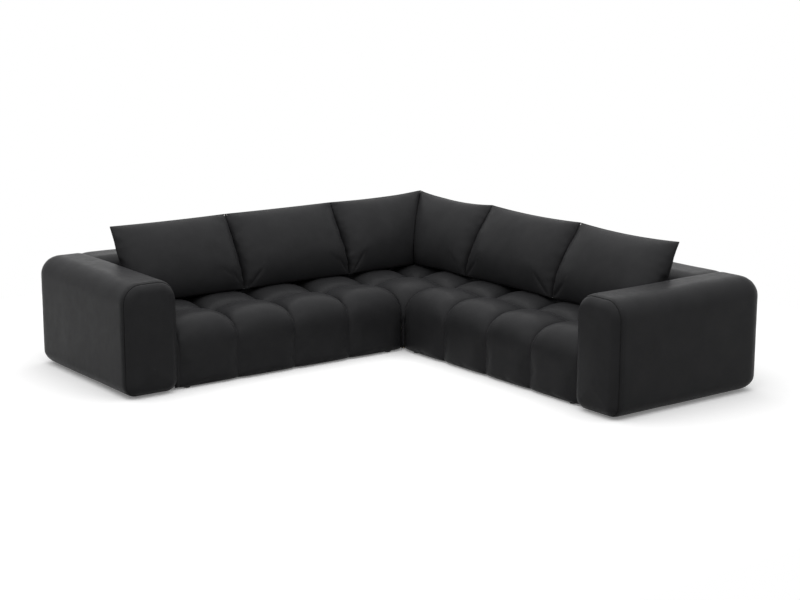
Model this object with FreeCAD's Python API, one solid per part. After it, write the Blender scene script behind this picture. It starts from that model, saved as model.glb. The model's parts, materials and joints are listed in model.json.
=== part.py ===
import FreeCAD
import Part
import math
import os

from FreeCAD import Vector

# Corner sofa: two straight wings, a corner module, two end arms and six loose
# back cushions. Millimetres, +Z up, floor at z = 0.
#
# A wing is modelled in its own frame: u runs outward from the inner corner, v runs
# back from the front of the seat. The left wing is its mirror image, the right wing
# the same piece turned a quarter turn. The corner module lies at +X and +Y of the
# inner corner and is the same on both sides of its diagonal.

# Seat: sewn puffs over a foam core
column_pitch = 380.0
columns = 4
row_depth = 350.0
crown_height = 392.0
channel_height = 320.0
row_channel_height = 334.0
channel_sag = 8.0
front_draw_in = 16.0
channel_bend = 104.0
puff_bend = 150.0
bottom_curl = 26.0
side_boxing = 22.0
pad_thickness = 15.0
wall_thickness = 12.0

# Backrest and arms: rolled upholstered walls
back_thickness = 350.0
arm_width = 326.0
arm_height = 632.0
arm_overhang = 46.0
roll_radius = 110.0
base_roll_radius = 72.0
rear_base_radius = 124.0
base_crease = 1.0
arm_front_radius = 64.0
corner_radius = 130.0
panel_setback = 34.0
piping_diameter = 5.0
piping_stand = 0.5
hide_thickness = 2.0

# Boards inside the arms and backs, and the padding round them
arm_board = 18.0
arm_side_padding = 34.0
arm_end_padding = 70.0
arm_front_padding = 60.0
arm_base_padding = 28.0
board_thickness = 25.0
back_padding = 90.0
post_depth = 100.0
post_count = 4
corner_post_count = 3

# Seat frame, springs and what lies on them
ground_gap = 10.0
dust_cloth = 1.0
rail_height = 98.0
cross_rail_drop = 30.0
spring_wire = 3.8
spring_bend = 16.0
spring_width = 72.0
spring_pitch = 205.0
spring_lead = 30.0
clip_height = 8.0
clip_width = 16.0
clip_length = 20.0
felt_thickness = 6.0
core_edge_radius = 50.0

# Fasteners and glides
bolt_diameter = 8.0
bolt_head = 16.0
bolt_head_height = 5.0
bolt_end = 3.0
nut_diameter = 18.0
nut_height = 8.0
bolt_level = 68.0
bolt_inset = 140.0
glide_top = 46.0
glide_foot = 36.0
glide_stem = 8.0
stem_reach = 44.0
arm_glide_inset = 115.0

# Loose back cushions
cushion_width = 758.0
cushion_height = 476.0
cushion_half_depth = 108.0
cushion_draw_in = 18.0
cushion_lean = 19.0
cushion_top = 820.0
cushion_gap = 3.0
cushion_press = 4.0
ear_overhang = 26.0
cover_thickness = 2.0
seam_hem = 8.0

# Clearances
fit = 0.3
hole_clearance = 0.5

# Sizes that follow from the ones above
seat_depth = 2 * row_depth
total_depth = seat_depth + back_thickness
seat_length = columns * column_pitch + side_boxing
wing_length = seat_length + arm_width
front_rise = arm_front_radius - panel_setback
seam_inset = arm_front_radius - math.sqrt(arm_front_radius ** 2 - front_rise ** 2)
seam_slope = math.sqrt(arm_front_radius ** 2 - front_rise ** 2) / arm_front_radius
piping_inset = seam_inset - piping_stand / seam_slope
piping_proud = max(0.0, piping_diameter / 2 - piping_inset)
half_lean = (wing_length + piping_proud - total_depth) / 2
rail_bottom = ground_gap + dust_cloth
rail_top = rail_bottom + rail_height
felt_bottom = rail_top + clip_height + fit
core_bottom = felt_bottom + felt_thickness + fit
core_top = channel_height - channel_sag - pad_thickness
core_start = wall_thickness + 2 * fit
core_end = seat_length - wall_thickness - 2 * fit
core_front = front_draw_in + pad_thickness + fit
core_back = seat_depth - wall_thickness - 2 * fit
lean = math.radians(cushion_lean)

ALONG = Vector(1, 0, 0)
BACKWARD = Vector(0, 1, 0)
UP = Vector(0, 0, 1)
ORIGIN = Vector(0, 0, 0)


# Small helpers

def box(low, high):
    size = [b - a for a, b in zip(low, high)]
    return Part.makeBox(size[0], size[1], size[2], Vector(*low))


def line(start, end):
    return Part.makeLine(start, end)


def arc(start, middle, end):
    return Part.Arc(start, middle, end).toShape()


def rod(start, way, length, diameter):
    return Part.makeCylinder(diameter / 2, length, start, way)


def same(a, b):
    return abs(a - b) < 0.01


def middle_of(edge):
    return edge.valueAt((edge.FirstParameter + edge.LastParameter) / 2)


def runs_along(edge, axis):
    """True for a straight edge that is parallel to an axis."""
    if edge.Curve.TypeId not in ("Part::GeomLine", "Part::GeomLineSegment"):
        return False
    return abs(edge.tangentAt(edge.FirstParameter).dot(axis)) > 0.999


def rounded(shape, radius, wanted):
    """Fillet each edge that passes a test."""
    return shape.makeFillet(radius, [edge for edge in shape.Edges if wanted(edge)])


def fuse_all(solids):
    return solids[0].multiFuse(solids[1:]).removeSplitter()


def group(solids):
    return Part.makeCompound(solids)


def drill(shape, holes):
    for hole in holes:
        shape = shape.cut(hole)
    return shape


def quarter(start, end, centre, radius, degrees):
    """A quarter circle in a plane of constant u, by the angle of its middle."""
    angle = math.radians(degrees)
    offset = Vector(0, radius * math.cos(angle), radius * math.sin(angle))
    return arc(start, centre + offset, end)


def falling_arc(start, end):
    """An arc in a plane of constant u that leaves start level and drops to end."""
    run = end.y - start.y
    drop = start.z - end.z
    radius = (run * run + drop * drop) / (2 * drop)
    half = math.asin(run / radius) / 2
    offset = Vector(0, radius * math.sin(half), radius * (math.cos(half) - 1))
    return arc(start, start + offset, end)


def between(drawn, full, share):
    return drawn + (full - drawn) * share


# Seat covers: a puff is a loft through sections that are full in the middle of its
# column and drawn in at the two sewn channels.

# Where the sections of one puff stand along it, and how full each is
PUFF_SECTIONS = [(0.0, 0.0), (0.11, 0.60), (0.5, 1.0), (0.89, 0.60), (1.0, 0.0)]


def wing_section(u, share):
    front = between(front_draw_in, 0.0, share)
    top = between(channel_height, crown_height, share)
    bend = between(channel_bend, puff_bend, share)
    notch = between(channel_height - channel_sag, row_channel_height, share)
    back = seat_depth - fit
    heel = Vector(u, back, ground_gap)
    toe = Vector(u, front + bottom_curl, ground_gap)
    shin = Vector(u, front, ground_gap + bottom_curl)
    knee = Vector(u, front, top - bend)
    lip = Vector(u, front + bend, top)
    seam = Vector(u, row_depth, notch)
    crown = Vector(u, 1.5 * row_depth, top)
    rear = Vector(u, back, notch)
    curl_centre = Vector(u, front + bottom_curl, ground_gap + bottom_curl)
    bend_centre = Vector(u, front + bend, top - bend)
    return Part.Wire([
        line(heel, toe),
        quarter(toe, shin, curl_centre, bottom_curl, 225),
        line(shin, knee),
        quarter(knee, lip, bend_centre, bend, 135),
        falling_arc(lip, seam),
        arc(seam, crown, rear),
        line(rear, heel),
    ])


def corner_section(x, share):
    top = between(channel_height, crown_height, share)
    notch = between(channel_height - channel_sag, row_channel_height, share)
    low = fit
    high = seat_depth - fit
    heel = Vector(x, high, ground_gap)
    toe = Vector(x, low, ground_gap)
    front = Vector(x, low, notch)
    first = Vector(x, 0.5 * row_depth, top)
    seam = Vector(x, row_depth, notch)
    second = Vector(x, 1.5 * row_depth, top)
    rear = Vector(x, high, notch)
    return Part.Wire([
        line(heel, toe),
        line(toe, front),
        arc(front, first, seam),
        arc(seam, second, rear),
        line(rear, heel),
    ])


def puff(section, start, end):
    wires = []
    for place, share in PUFF_SECTIONS:
        wires.append(section(between(start, end, place), share))
    return Part.makeLoft(wires, True, False)


def channel_prism(front, top, bend, crown, length):
    """A solid below a sewn channel's outline, with room behind the bend for puffs."""
    reach = 4 * seat_depth
    below = -ground_gap
    heel = Vector(0, reach, below)
    toe = Vector(0, front, below)
    knee = Vector(0, front, top - bend)
    lip = Vector(0, front + bend, top)
    rise = Vector(0, front + 2 * bend, crown)
    rear = Vector(0, reach, crown)
    outline = Part.Wire([
        line(heel, toe),
        line(toe, knee),
        quarter(knee, lip, Vector(0, front + bend, top - bend), bend, 135),
        line(lip, rise),
        line(rise, rear),
        line(rear, heel),
    ])
    return Part.Face(outline).extrude(ALONG * length)


def wing_core(clearance, bottom, top):
    """A block the shape of a wing's foam core, smaller all round by a clearance."""
    start = core_start - fit + clearance
    end = core_end + fit - clearance
    front = core_front - fit + clearance
    back = core_back + fit - clearance
    bend = channel_bend - pad_thickness - clearance
    roof = core_top + fit - clearance
    block = box((start, front, bottom), (end, back, top))
    limit = channel_prism(front, roof, bend, roof + fit, wing_length)
    return block.common(limit)


def wing_seat_cover():
    puffs = []
    for index in range(columns):
        start = max(index * column_pitch, fit)
        puffs.append(puff(wing_section, start, (index + 1) * column_pitch))
    edge = Part.Face(wing_section(columns * column_pitch, 0.0))
    boxing = edge.extrude(ALONG * (side_boxing - fit))
    outer = fuse_all(puffs + [boxing])
    return outer.cut(wing_core(0.0, -ground_gap, core_top + fit))


def inner_corner_prism(inset):
    """The drop of the corner module towards the room, across its diagonal."""
    slope = math.sqrt(0.5)
    front = front_draw_in * slope + inset
    bend = channel_bend * slope - inset
    top = channel_height - inset
    crown = crown_height + pad_thickness
    length = 4 * seat_depth
    prism = channel_prism(front, top, bend, crown, length)
    prism.translate(Vector(-length / 2, 0, 0))
    prism.rotate(ORIGIN, UP, -45)
    return prism


def corner_core(clearance, bottom, top):
    low = core_start - fit + clearance
    high = core_back + fit - clearance
    block = box((low, low, bottom), (high, high, top))
    block = rounded(
        block,
        core_edge_radius,
        lambda e: runs_along(e, UP)
        and same(middle_of(e).x, low)
        and same(middle_of(e).y, low),
    )
    return block.common(inner_corner_prism(pad_thickness + channel_sag + clearance))


def corner_seat_cover():
    first = puff(corner_section, fit, row_depth)
    second = puff(corner_section, row_depth, seat_depth - fit)
    outer = fuse_all([first, second]).common(inner_corner_prism(0.0))
    return outer.cut(corner_core(0.0, -ground_gap, core_top + fit))


# Rolled walls: backrests and arms are the same form at several insets

def back_wall(inset):
    low = (fit + inset, seat_depth + inset, ground_gap + inset)
    high = (seat_length - fit - inset, total_depth - inset, arm_height - inset)
    wall = rounded(
        box(low, high),
        roll_radius - inset,
        lambda e: runs_along(e, ALONG) and same(middle_of(e).z, high[2]),
    )
    return rounded(
        wall,
        rear_base_radius - inset,
        lambda e: runs_along(e, ALONG)
        and same(middle_of(e).z, low[2])
        and same(middle_of(e).y, high[1]),
    )


def corner_wall(inset):
    near = fit + inset
    inner = seat_depth + inset
    outer = total_depth - inset
    bottom = ground_gap + inset
    top = arm_height - inset
    along_x = box((near, inner, bottom), (outer, outer, top))
    along_y = box((inner, near, bottom), (outer, outer, top))
    wall = fuse_all([along_x, along_y])
    wall = rounded(
        wall,
        corner_radius - inset,
        lambda e: runs_along(e, UP)
        and same(middle_of(e).x, outer)
        and same(middle_of(e).y, outer),
    )

    def free_end(edge):
        place = middle_of(edge)
        return same(place.x, near) or same(place.y, near)

    wall = rounded(
        wall,
        roll_radius - inset,
        lambda e: same(middle_of(e).z, top) and not free_end(e),
    )
    return rounded(
        wall,
        rear_base_radius - inset,
        lambda e: same(middle_of(e).z, bottom)
        and not free_end(e)
        and middle_of(e).x + middle_of(e).y > 2 * seat_depth
        and max(middle_of(e).x, middle_of(e).y) > inner + corner_radius,
    )


def arm_form(inset):
    low = Vector(seat_length + inset, inset - arm_overhang, ground_gap + inset)
    high = Vector(wing_length - inset, total_depth - inset, arm_height - inset)
    form = box(low, high)

    def rolled(edge):
        place = middle_of(edge)
        if same(place.y, low.y):
            return False
        if same(place.z, high.z):
            return runs_along(edge, BACKWARD) or same(place.y, high.y)
        return same(place.y, high.y) and same(place.x, high.x)

    form = rounded(form, roll_radius - inset, rolled)
    form = rounded(
        form,
        base_roll_radius - inset,
        lambda e: same(middle_of(e).z, low.z) and not same(middle_of(e).y, low.y),
    )
    form = rounded(
        form, arm_front_radius - inset, lambda e: same(middle_of(e).y, low.y)
    )
    return form.cut(rear_base_relief(low.z, high.y, rear_base_radius - inset))


def rear_base_relief(bottom, rear, radius):
    """What the larger roll along the foot of an arm's rear takes away."""
    reach = radius + base_crease
    block = box(
        (0, rear - radius, bottom - reach), (2 * wing_length, rear + reach, bottom + radius)
    )
    start = Vector(-wing_length, rear - reach, bottom + reach)
    return block.cut(rod(start, ALONG, 4 * wing_length, 2 * radius))


def diagonal_side(left, gap):
    """The half of space on one side of the corner's diagonal, less a gap."""
    reach = 4 * seat_depth
    half = box((-reach, gap, -reach), (reach, reach, reach))
    half.rotate(ORIGIN, UP, 45)
    if not left:
        half = mirrored(half)
    return half


def mirrored(shape):
    """The same piece on the other side of the corner's diagonal."""
    return shape.mirror(ORIGIN, Vector(1, -1, 0))


panel_seam = panel_setback - arm_overhang
seam_half_gap = piping_diameter / 2 + fit / 2


def arm_skin():
    return arm_form(0.0).cut(arm_form(hide_thickness))


def arm_cover():
    behind = box(
        (0, panel_seam + seam_half_gap, -ground_gap),
        (2 * wing_length, 2 * total_depth, 2 * arm_height),
    )
    return arm_skin().common(behind)


def arm_front_panel():
    ahead = box(
        (0, -total_depth, -ground_gap),
        (2 * wing_length, panel_seam - seam_half_gap, 2 * arm_height),
    )
    return arm_skin().common(ahead)


def arm_piping():
    """A cord sewn into the seam all round the arm's front panel."""
    low_u = seat_length + piping_inset
    high_u = wing_length - piping_inset
    low_z = ground_gap + piping_inset
    high_z = arm_height - piping_inset
    path = rounded_ring(low_u, high_u, low_z, high_z, panel_seam)
    start = Vector((low_u + high_u) / 2, panel_seam, high_z)
    profile = Part.Wire([Part.makeCircle(piping_diameter / 2, start, ALONG)])
    return path.makePipeShell([profile], True, True)


def rounded_ring(low_u, high_u, low_z, high_z, v):
    """A closed path round an arm's profile, from the middle of its top."""
    high = roll_radius - piping_inset
    low = base_roll_radius - piping_inset
    half = math.sqrt(0.5)

    def point(u, z):
        return Vector(u, v, z)

    def bend(centre, radius, across, up, first):
        side = point(centre.x + across * radius, centre.z)
        level = point(centre.x, centre.z + up * radius)
        middle = point(
            centre.x + across * radius * half, centre.z + up * radius * half
        )
        if first == "level":
            return arc(level, middle, side)
        return arc(side, middle, level)

    top_left = point(low_u + high, high_z - high)
    top_right = point(high_u - high, high_z - high)
    base_left = point(low_u + low, low_z + low)
    base_right = point(high_u - low, low_z + low)
    crown = point((low_u + high_u) / 2, high_z)
    return Part.Wire([
        line(crown, point(top_right.x, high_z)),
        bend(top_right, high, 1, 1, "level"),
        line(point(high_u, top_right.z), point(high_u, base_right.z)),
        bend(base_right, low, 1, -1, "side"),
        line(point(base_right.x, low_z), point(base_left.x, low_z)),
        bend(base_left, low, -1, -1, "level"),
        line(point(low_u, base_left.z), point(low_u, top_left.z)),
        bend(top_left, high, -1, 1, "side"),
        line(point(top_left.x, high_z), crown),
    ])


# Frames

arm_low = Vector(
    seat_length + arm_side_padding,
    arm_front_padding - arm_overhang,
    ground_gap + arm_base_padding,
)
arm_high = Vector(
    wing_length - arm_side_padding,
    total_depth - arm_end_padding,
    arm_height - arm_end_padding,
)


def arm_frame():
    """A box of boards, butted together: base and top, two sides, front and rear."""
    board = arm_board
    low = arm_low
    high = arm_high
    base = box((low.x, low.y, low.z), (high.x, high.y, low.z + board))
    top = box((low.x, low.y, high.z - board), (high.x, high.y, high.z))
    floor = low.z + board
    roof = high.z - board
    inner = box((low.x, low.y, floor), (low.x + board, high.y, roof))
    outer = box((high.x - board, low.y, floor), (high.x, high.y, roof))
    near = low.x + board
    far = high.x - board
    front = box((near, low.y, floor), (far, low.y + board, roof))
    rear = box((near, high.y - board, floor), (far, high.y, roof))
    return [base, top, inner, outer, front, rear]


def arm_foam():
    space = box(
        (arm_low.x - fit, arm_low.y - fit, arm_low.z - fit),
        (arm_high.x + fit, arm_high.y + fit, arm_high.z + fit),
    )
    return arm_form(hide_thickness + fit).cut(space)


back_front = seat_depth + hide_thickness + 2 * fit
back_base = ground_gap + hide_thickness + 2 * fit
post_front = seat_depth + back_padding
post_rear = post_front + post_depth
back_start = hide_thickness + 3 * fit
back_end = seat_length - hide_thickness - 3 * fit
back_roof = arm_height - arm_end_padding


def back_frame():
    """Front rail, spacers back to the posts, and a top rail over the posts."""
    board = board_thickness
    pieces = [
        box(
            (back_start, back_front, back_base),
            (back_end, back_front + board, back_base + rail_height),
        ),
        box(
            (back_start, post_front, back_roof - board),
            (back_end, post_rear, back_roof),
        ),
    ]
    step = (back_end - back_start - board) / (post_count - 1)
    for index in range(post_count):
        start = back_start + index * step
        pieces += post_and_spacer(start)
    return pieces


def post_and_spacer(start):
    board = board_thickness
    post = box(
        (start, post_front, back_base),
        (start + board, post_rear, back_roof - board),
    )
    spacer = box(
        (start, back_front + board, back_base),
        (start + board, post_front, back_base + rail_height),
    )
    return [post, spacer]


def frame_space(start, end):
    """Room for a back frame inside the back's foam, open below."""
    low = box(
        (start - fit, back_front - fit, 0),
        (end + fit, post_front + fit, back_base + rail_height + fit),
    )
    high = box(
        (start - fit, post_front - fit, 0), (end + fit, post_rear + fit, back_roof + fit)
    )
    return low.fuse(high)


def back_foam():
    space = frame_space(back_start, back_end)
    return back_wall(hide_thickness + fit).cut(space)


def corner_back_frame():
    board = board_thickness
    end = back_front + board
    first = [
        box(
            (back_start, back_front, back_base),
            (end, end, back_base + rail_height),
        ),
        box(
            (back_start, post_front, back_roof - board),
            (post_rear, post_rear, back_roof),
        ),
    ]
    second = [
        box(
            (back_front, back_start, back_base),
            (end, back_front, back_base + rail_height),
        ),
        box(
            (post_front, back_start, back_roof - board),
            (post_rear, post_front, back_roof),
        ),
    ]
    step = (end - back_start - board) / (corner_post_count - 1)
    for index in range(corner_post_count):
        leg = post_and_spacer(back_start + index * step)
        first += leg
        second += [mirrored(piece) for piece in leg]
    corner_post = box(
        (post_rear - board, post_rear - board, back_base),
        (post_rear, post_rear, back_roof - board),
    )
    return first + second + [corner_post]


def corner_back_foam():
    space = frame_space(back_start, post_rear)
    padding = corner_wall(hide_thickness + fit)
    return padding.cut(space).cut(mirrored(space))


def seat_frame(start, end, front, back):
    """Front and rear rails, two end rails and two cross rails, set between them."""
    board = board_thickness
    front_rail = box((start, front, rail_bottom), (end, front + board, rail_top))
    rear_rail = box((start, back - board, rail_bottom), (end, back, rail_top))
    inner = front + board
    outer = back - board
    left_end = box((start, inner, rail_bottom), (start + board, outer, rail_top))
    right_end = box((end - board, inner, rail_bottom), (end, outer, rail_top))
    pieces = [front_rail, rear_rail, left_end, right_end]
    for share in (1, 2):
        middle = between(start, end, share / 3)
        pieces.append(
            box(
                (middle - board / 2, inner, rail_bottom),
                (middle + board / 2, outer, rail_top - cross_rail_drop),
            )
        )
    return pieces


def wing_frame():
    return seat_frame(core_start, core_end, core_front, core_back)


def corner_frame():
    rails = seat_frame(core_start, core_back, core_start, core_back)
    limit = corner_core(fit, rail_bottom, rail_top)
    return [rail.common(limit) for rail in rails]


# Springs: wavy steel wire from the front rail to the rear rail, held by clips

def spring_places(start, end):
    count = int((end - start - 2 * board_thickness) // spring_pitch)
    step = (end - start) / (count + 1)
    return [start + step * (index + 1) for index in range(count)]


def spring(u, front, back):
    """One unbroken wire: a lead, level runs joined by half turns, and a lead."""
    radius = spring_bend
    reach = spring_width / 2 - radius
    span = back - front - 2 * spring_lead
    turns = int(span // (2 * radius)) - 1
    lead = (back - front - 2 * radius * (turns + 1)) / 2
    level = rail_top + clip_height / 2
    half = radius * math.sqrt(0.5)

    def point(across, v):
        return Vector(u + across, v, level)

    v = front + lead
    edges = [
        line(point(0, front), point(0, v)),
        arc(point(0, v), point(radius - half, v + half), point(radius, v + radius)),
    ]
    side = 1
    place = point(radius, v + radius)
    for _ in range(turns):
        end = point(side * reach, place.y)
        turn = point(side * reach, place.y + 2 * radius)
        bulge = point(side * (reach + radius), place.y + radius)
        edges.append(line(place, end))
        edges.append(arc(end, bulge, turn))
        place = turn
        side = -side
    last = point(-side * radius, place.y)
    edges.append(line(place, last))
    edges.append(
        arc(
            last,
            point(-side * (radius - half), place.y + radius - half),
            point(0, place.y + radius),
        )
    )
    edges.append(line(point(0, place.y + radius), point(0, back)))
    profile = Part.Wire([Part.makeCircle(spring_wire / 2, point(0, front), BACKWARD)])
    return Part.Wire(edges).makePipeShell([profile], True, False)


def spring_clips(u, front, back):
    clips = []
    for v in (front, back - clip_length):
        clip = box(
            (u - clip_width / 2, v, rail_top),
            (u + clip_width / 2, v + clip_length, rail_top + clip_height),
        )
        start = Vector(u, v - clip_length, rail_top + clip_height / 2)
        bore = rod(start, BACKWARD, 3 * clip_length, spring_wire + 2 * fit)
        clips.append(clip.cut(bore))
    return clips


def springs_and_clips(start, end, front, back):
    springs = []
    clips = []
    for u in spring_places(start, end):
        springs.append(spring(u, front, back))
        clips += spring_clips(u, front, back)
    return springs, clips


# Bolts and glides

def bolt(start, way, length):
    """A headed bolt; start is where its head bears, length goes to its far end."""
    shank = rod(start, way, length, bolt_diameter)
    head = rod(start - way * bolt_head_height, way, bolt_head_height, bolt_head)
    return head.fuse(shank)


def nut(start, way, length):
    """The nut on the end of that bolt."""
    seat = start + way * (length - bolt_end - nut_height)
    ring = rod(seat, way, nut_height, nut_diameter)
    return ring.cut(rod(seat, way, nut_height, bolt_diameter + 2 * hole_clearance))


def bolt_hole(start, way, length):
    return rod(start, way, length, bolt_diameter + 2 * hole_clearance)


def evenly(start, end, count):
    step = (end - start) / (count - 1)
    return [start + index * step for index in range(count)]


def arm_bolts():
    """Through the seat's end rail into the arm's inner board."""
    start = core_end - board_thickness
    end = arm_low.x + arm_board + nut_height + bolt_end
    places = evenly(bolt_inset, seat_depth - bolt_inset, 2)
    return [(Vector(start, v, bolt_level), ALONG, end - start) for v in places]


def back_bolts():
    """Through the seat's rear rail into the back's front rail."""
    start = core_back - board_thickness
    end = back_front + board_thickness + nut_height + bolt_end
    places = evenly(bolt_inset, seat_length - bolt_inset, 3)
    return [(Vector(u, start, bolt_level), BACKWARD, end - start) for u in places]


def joint_bolts():
    """Through a wing's first end rail into the corner module's side rail."""
    start = core_start + board_thickness
    end = -(core_start + board_thickness + nut_height + bolt_end)
    places = evenly(bolt_inset, seat_depth - bolt_inset, 2)
    return [(Vector(start, v, bolt_level), -ALONG, start - end) for v in places]


def corner_back_bolts():
    start = core_back - board_thickness
    end = back_front + board_thickness + nut_height + bolt_end
    places = evenly(bolt_inset, seat_depth - bolt_inset, 2)
    return [(Vector(x, start, bolt_level), BACKWARD, end - start) for x in places]


def glide(u, v):
    disc = Part.makeCone(glide_foot / 2, glide_top / 2, ground_gap, Vector(u, v, 0))
    return disc.fuse(rod(Vector(u, v, 0), UP, stem_reach, glide_stem))


def glide_hole(u, v):
    return rod(Vector(u, v, 0), UP, stem_reach + bolt_end, glide_stem + 2 * fit)


def seat_glides(start, end, front, back):
    edge = board_thickness / 2
    inset = bolt_inset / 2
    return [
        (u, v)
        for u in (start + inset, end - inset)
        for v in (front + edge, back - edge)
    ]


def arm_glides():
    middle = (seat_length + wing_length) / 2
    across = arm_width / 2 - arm_glide_inset
    rear = total_depth - arm_glide_inset - arm_end_padding
    return [
        (u, v)
        for u in (middle - across, middle + across)
        for v in (arm_glide_inset, rear)
    ]


# Loose cushions

# Height of each ring of a cushion half as a share of its depth, how far the ring
# stands inside the seam, and how far its sides bow out from its corners
CUSHION_RINGS = [(0.45, 34.0, 2.0), (0.80, 92.0, 12.0), (1.0, 185.0, 18.0)]


def cushion_ring(corners, inset, bow, height):
    """Four arcs through the corners of an outline moved inward by an inset."""
    middle_a = sum(a for a, b in corners) / 4
    middle_b = sum(b for a, b in corners) / 4
    points = []
    for a, b in corners:
        points.append((
            a - math.copysign(inset, a - middle_a),
            b - math.copysign(inset, b - middle_b),
        ))
    edges = []
    for index, (a, b) in enumerate(points):
        next_a, next_b = points[(index + 1) % 4]
        length = math.hypot(next_a - a, next_b - b)
        out_a = (next_b - b) / length * bow
        out_b = (a - next_a) / length * bow
        edges.append(
            arc(
                Vector(a, b, height),
                Vector((a + next_a) / 2 + out_a, (b + next_b) / 2 + out_b, height),
                Vector(next_a, next_b, height),
            )
        )
    return Part.Wire(edges)


def cushion_half(corners, inset, side):
    depth = cushion_half_depth - inset / 2
    seam = seam_hem * inset / cover_thickness
    wires = [cushion_ring(corners, seam, -cushion_draw_in, 0.0)]
    for share, ring_inset, bow in CUSHION_RINGS:
        height = side * share * depth
        wires.append(cushion_ring(corners, ring_inset + inset, bow, height))
    return Part.makeLoft(wires, True, False)


def cushion_placement():
    """Local axes of a leaning cushion: along the wing, up its face, out of its face."""
    along = ALONG
    up = Vector(0, math.sin(lean), math.cos(lean))
    out = Vector(0, -math.cos(lean), math.sin(lean))
    v = seat_depth + cushion_press - cushion_half_depth * math.cos(lean)
    z = cushion_top - cushion_height / 2 * math.cos(lean)
    matrix = FreeCAD.Matrix(
        along.x, up.x, out.x, 0,
        along.y, up.y, out.y, v,
        along.z, up.z, out.z, z,
        0, 0, 0, 1,
    )
    return matrix, v


def cushion_corners(kind):
    """Seam corners, anticlockwise from the low one at the inner end of the wing."""
    half = cushion_height / 2
    outer_edge = seat_length - cushion_width
    middle_edge = outer_edge - cushion_width
    v = cushion_placement()[1]
    if kind == "outer":
        ear = seat_length + ear_overhang
        low = outer_edge + cushion_gap
        return [(low, -half), (seat_length - 2 * fit, -half), (ear, half), (low, half)]
    if kind == "middle":
        low = middle_edge + cushion_gap
        high = outer_edge - cushion_gap
        return [(low, -half), (high, -half), (high, half), (low, half)]
    rise = half * math.sin(lean)
    high = middle_edge - cushion_gap
    low_at_base = cushion_gap - (v - rise)
    low_at_top = cushion_gap - (v + rise)
    return [(low_at_base, -half), (high, -half), (high, half), (low_at_top, half)]


def cushion_body(kind, inset):
    """A leaning cushion, flat where it rests on the seat, the back and its neighbour."""
    corners = cushion_corners(kind)
    front = cushion_half(corners, inset, 1)
    rear = cushion_half(corners, inset, -1)
    body = front.fuse(rear).removeSplitter()
    body = body.transformGeometry(cushion_placement()[0])
    reach = 2 * wing_length
    seat = box((-reach, -reach, -reach), (reach, reach, crown_height + fit + inset))
    body = body.cut(seat)
    back = box(
        (-reach, seat_depth - fit - inset, 0),
        (reach, reach, arm_height - roll_radius),
    )
    body = body.cut(back)
    if kind == "corner":
        room = diagonal_side(True, fit + inset)
        room = room.mirror(ORIGIN, ALONG)
        body = body.common(room)
    if kind == "outer":
        body = body.cut(arm_form(-fit - inset))
    return body


def cushion_pieces(kind):
    outer = cushion_body(kind, 0.0)
    cover = outer.cut(cushion_body(kind, cover_thickness))
    fill = cushion_body(kind, cover_thickness + fit)
    return cover, fill


# Assembly

def left(shape):
    """A wing's piece set on the left wing."""
    return shape.mirror(ORIGIN, ALONG)


def right(shape):
    """A wing's piece set on the right wing."""
    turned = shape.copy()
    turned.rotate(ORIGIN, UP, -90)
    return turned


def export(name, solids):
    placed = group(solids) if len(solids) > 1 else solids[0].copy()
    placed.translate(Vector(half_lean, half_lean, 0))
    placed.exportStep(os.path.join("parts", name + ".step"))


def export_pair(name, solids):
    export("left_" + name, [left(solid) for solid in solids])
    export("right_" + name, [right(solid) for solid in solids])


def make_wings():
    to_arm = [bolt_hole(*item) for item in arm_bolts()]
    to_back = [bolt_hole(*item) for item in back_bolts()]
    to_corner = [bolt_hole(*item) for item in joint_bolts()]
    seat_stems = [
        glide_hole(*place)
        for place in seat_glides(core_start, core_end, core_front, core_back)
    ]
    arm_stems = [glide_hole(*place) for place in arm_glides()]

    export_pair("seat_cover", [drill(wing_seat_cover(), to_arm + to_back + to_corner)])
    export_pair("seat_foam", [wing_core(fit, core_bottom, core_top)])
    export_pair(
        "seat_felt", [wing_core(fit, felt_bottom, felt_bottom + felt_thickness)]
    )
    holes = to_arm + to_back + to_corner + seat_stems
    export_pair("seat_frame", [drill(rail, holes) for rail in wing_frame()])
    springs, clips = springs_and_clips(core_start, core_end, core_front, core_back)
    export_pair("seat_springs", springs)
    export_pair("seat_spring_clips", clips)
    cloth = wing_core(fit, ground_gap, rail_bottom)
    export_pair("seat_dust_cloth", [drill(cloth, seat_stems)])

    skin = back_wall(0.0).cut(back_wall(hide_thickness))
    export_pair("back_cover", [drill(skin, to_back)])
    export_pair("back_foam", [drill(back_foam(), to_back)])
    export_pair("back_frame", [drill(piece, to_back) for piece in back_frame()])

    export_pair("arm_cover", [drill(arm_cover(), to_arm + arm_stems)])
    export_pair("arm_front_panel", [arm_front_panel()])
    export_pair("arm_piping", [arm_piping()])
    export_pair("arm_foam", [drill(arm_foam(), to_arm + arm_stems)])
    export_pair(
        "arm_frame", [drill(board, to_arm + arm_stems) for board in arm_frame()]
    )


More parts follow.
